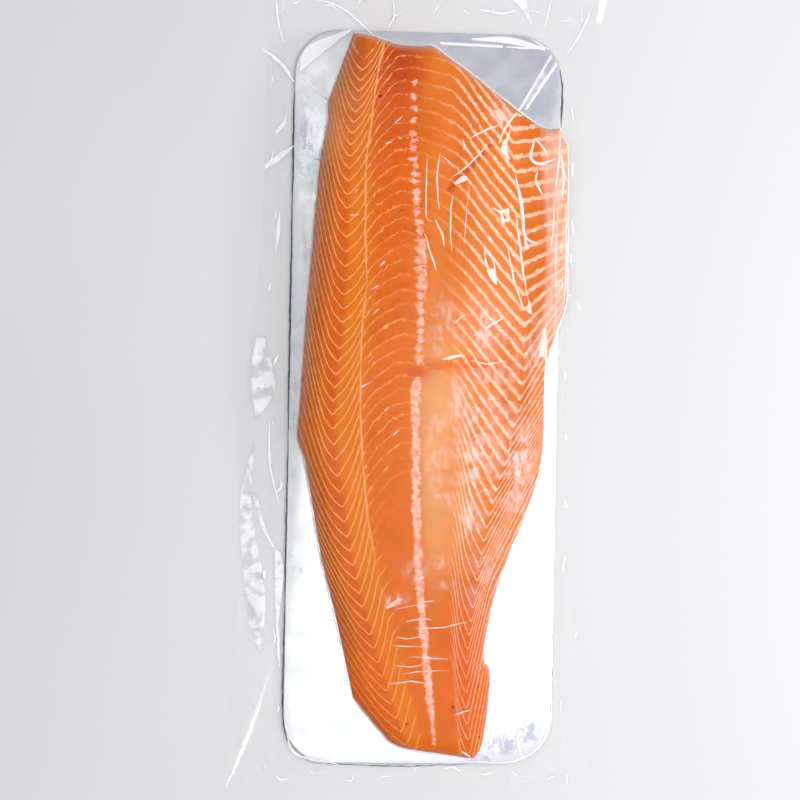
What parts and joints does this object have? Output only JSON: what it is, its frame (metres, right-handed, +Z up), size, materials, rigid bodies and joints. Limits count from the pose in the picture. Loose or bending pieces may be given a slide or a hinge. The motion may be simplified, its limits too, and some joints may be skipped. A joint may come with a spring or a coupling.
{
  "type": "vacuum-packed raw salmon fillet",
  "caption": "Raw salmon side, flesh up on a silver board, sealed in a clear vacuum pouch that lies flat.",
  "frame": {"origin": "under the middle of the pouch, on the surface that the pack lies on", "axes": "+Z up, +Y to the head end of the fillet, +X to its belly side"},
  "size_m": [0.257, 0.58, 0.0289],
  "materials": {
    "salmon_flesh": "moist orange flesh with pale lines",
    "silver_board": "silver foil face, satin",
    "clear_film": "clear glossy film"
  },
  "bodies": {
    "root": {"fillet": "salmon_flesh", "backing_board": "silver_board", "pouch": "clear_film"}
  },
  "joints": []
}
